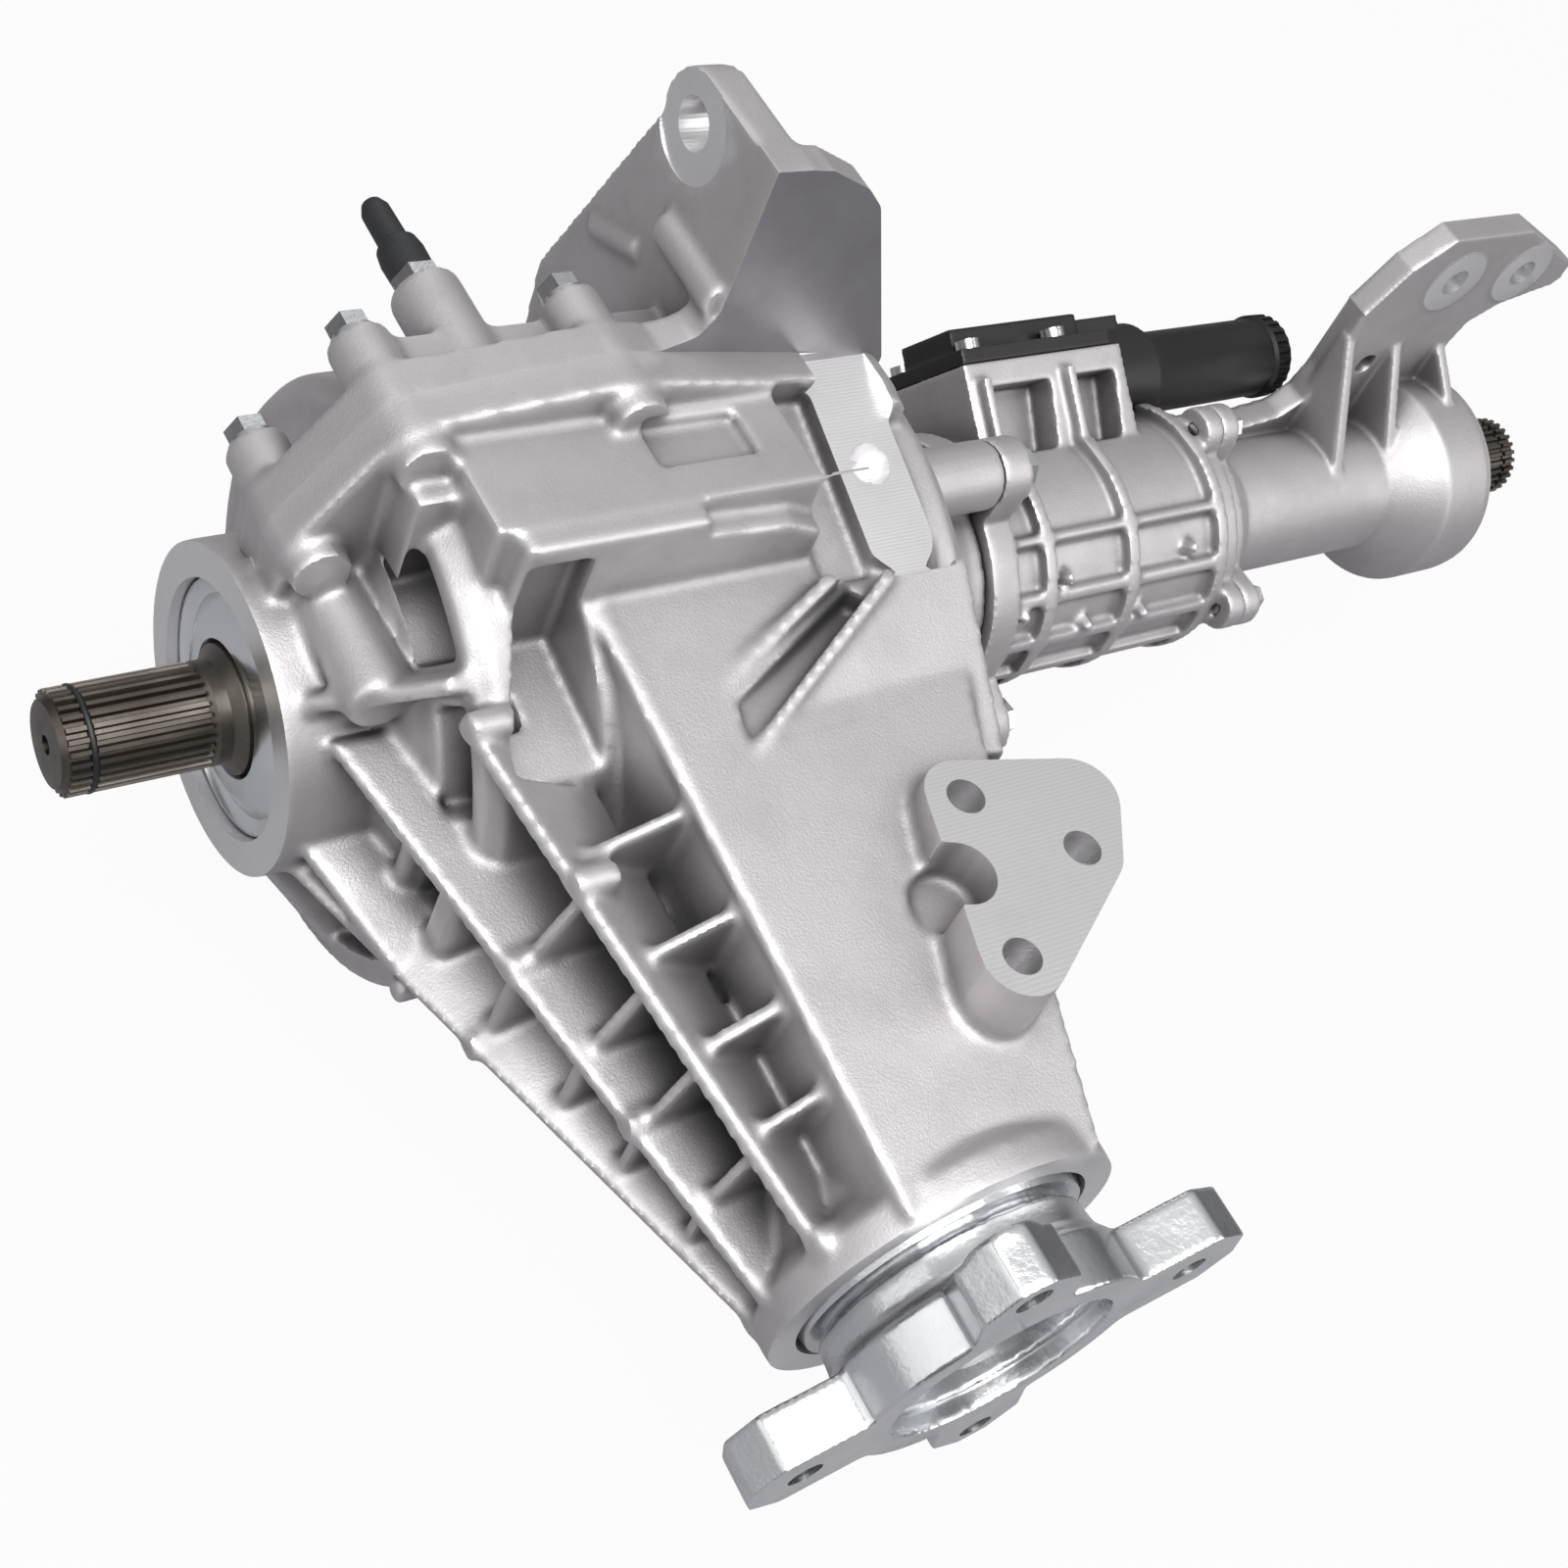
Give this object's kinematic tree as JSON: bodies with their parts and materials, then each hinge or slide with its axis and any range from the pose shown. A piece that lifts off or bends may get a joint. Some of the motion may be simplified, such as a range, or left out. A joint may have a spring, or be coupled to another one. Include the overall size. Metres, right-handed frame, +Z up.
{
  "type": "front differential",
  "caption": "Front axle differential: ribbed cast housing with gear set, side disconnect with shift actuator, long right axle tube and four-arm propeller-shaft flange.",
  "frame": {"origin": "centre of the propeller-shaft flange's face", "axes": "+X along the axle to the right, +Y from the flange face to the axle line (forward), +Z up"},
  "size_m": [0.627, 0.378, 0.3],
  "materials": {
    "cast_aluminium": "as-cast, blasted, with milled faces",
    "machined_steel": "turned and ground, lightly oiled",
    "zinc_plate": "bright zinc plate",
    "black_rubber": "moulded, matt",
    "black_plastic": "moulded, fine texture",
    "cast_iron_case": "as-cast, machined seats",
    "gear_steel": "case-hardened, phosphate grey",
    "bronze_washer": "bronze, plain"
  },
  "bodies": {
    "housing": {"main_housing": "cast_aluminium", "front_cover": "cast_aluminium", "cover_bolts": "zinc_plate", "breather_nipple": "zinc_plate", "breather_cap": "black_rubber", "fill_plug": "machined_steel", "drain_plug": "machined_steel", "disconnect_housing": "cast_aluminium", "disconnect_bolts": "zinc_plate", "axle_tube": "cast_aluminium", "tube_bolts": "zinc_plate", "actuator_body": "black_plastic", "actuator_motor": "black_plastic", "actuator_screws": "zinc_plate", "left_oil_seal": "black_rubber", "right_oil_seal": "black_rubber", "pinion_oil_seal": "black_rubber", "left_carrier_cup": "machined_steel", "right_carrier_cup": "machined_steel", "pinion_head_cup": "machined_steel", "pinion_tail_cup": "machined_steel", "intermediate_bearing": "machined_steel", "tube_inner_bearing": "machined_steel", "tube_outer_bearing": "machined_steel", "bearing_caps": "cast_aluminium", "cap_bolts": "zinc_plate"},
    "case": {"differential_case": "cast_iron_case", "ring_gear": "gear_steel", "ring_gear_bolts": "machined_steel", "cross_pin": "machined_steel", "cross_pin_lock": "machined_steel", "left_carrier_cone": "machined_steel", "right_carrier_cone": "machined_steel", "side_gear_washers": "bronze_washer"},
    "pinion": {"pinion_gear": "gear_steel", "pinion_flange": "zinc_plate", "pinion_nut": "zinc_plate", "pinion_head_cone": "machined_steel", "pinion_tail_cone": "machined_steel", "crush_sleeve": "machined_steel", "pinion_dust_shield": "zinc_plate"},
    "left_output": {"left_stub_shaft": "machined_steel", "left_side_gear": "gear_steel", "left_snap_ring": "machined_steel", "left_dust_shield": "zinc_plate"},
    "right_inner": {"intermediate_shaft": "machined_steel", "right_side_gear": "gear_steel"},
    "upper_spider": {"upper_spider_gear": "gear_steel"},
    "lower_spider": {"lower_spider_gear": "gear_steel"},
    "right_output": {"right_output_shaft": "machined_steel", "right_dust_shield": "zinc_plate"},
    "fork": {"shift_fork": "machined_steel"},
    "collar": {"shift_collar": "gear_steel"}
  },
  "joints": [
    {"name": "case_spin", "type": "hinge", "parent": "housing", "child": "case", "pos_m": [0, 0.27, 0], "axis": [1, 0, 0], "continuous": true},
    {"name": "pinion_spin", "type": "hinge", "parent": "housing", "child": "pinion", "pos_m": [0, 0.27, 0], "axis": [0, 1, 0], "continuous": true},
    {"name": "left_output_spin", "type": "hinge", "parent": "case", "child": "left_output", "pos_m": [0, 0.27, 0], "axis": [1, 0, 0], "continuous": true},
    {"name": "right_inner_spin", "type": "hinge", "parent": "case", "child": "right_inner", "pos_m": [0, 0.27, 0], "axis": [1, 0, 0], "continuous": true},
    {"name": "upper_spider_spin", "type": "hinge", "parent": "case", "child": "upper_spider", "pos_m": [0, 0.27, 0], "axis": [0, 0, 1], "continuous": true},
    {"name": "lower_spider_spin", "type": "hinge", "parent": "case", "child": "lower_spider", "pos_m": [0, 0.27, 0], "axis": [0, 0, 1], "continuous": true},
    {"name": "right_output_spin", "type": "hinge", "parent": "housing", "child": "right_output", "pos_m": [0.3, 0.27, 0], "axis": [1, 0, 0], "continuous": true},
    {"name": "fork_slide", "type": "slide", "parent": "housing", "child": "fork", "axis": [1, 0, 0], "range_m": [0, 0.016]},
    {"name": "collar_slide", "type": "slide", "parent": "right_inner", "child": "collar", "axis": [1, 0, 0], "range_m": [0, 0.016]}
  ],
  "couplings": [
    {"joint": "pinion_spin", "follows": "case_spin", "ratio": 3.7273},
    {"joint": "right_inner_spin", "follows": "left_output_spin", "ratio": -1},
    {"joint": "upper_spider_spin", "follows": "left_output_spin", "ratio": 1.6},
    {"joint": "lower_spider_spin", "follows": "left_output_spin", "ratio": -1.6},
    {"joint": "collar_slide", "follows": "fork_slide", "ratio": 1}
  ]
}
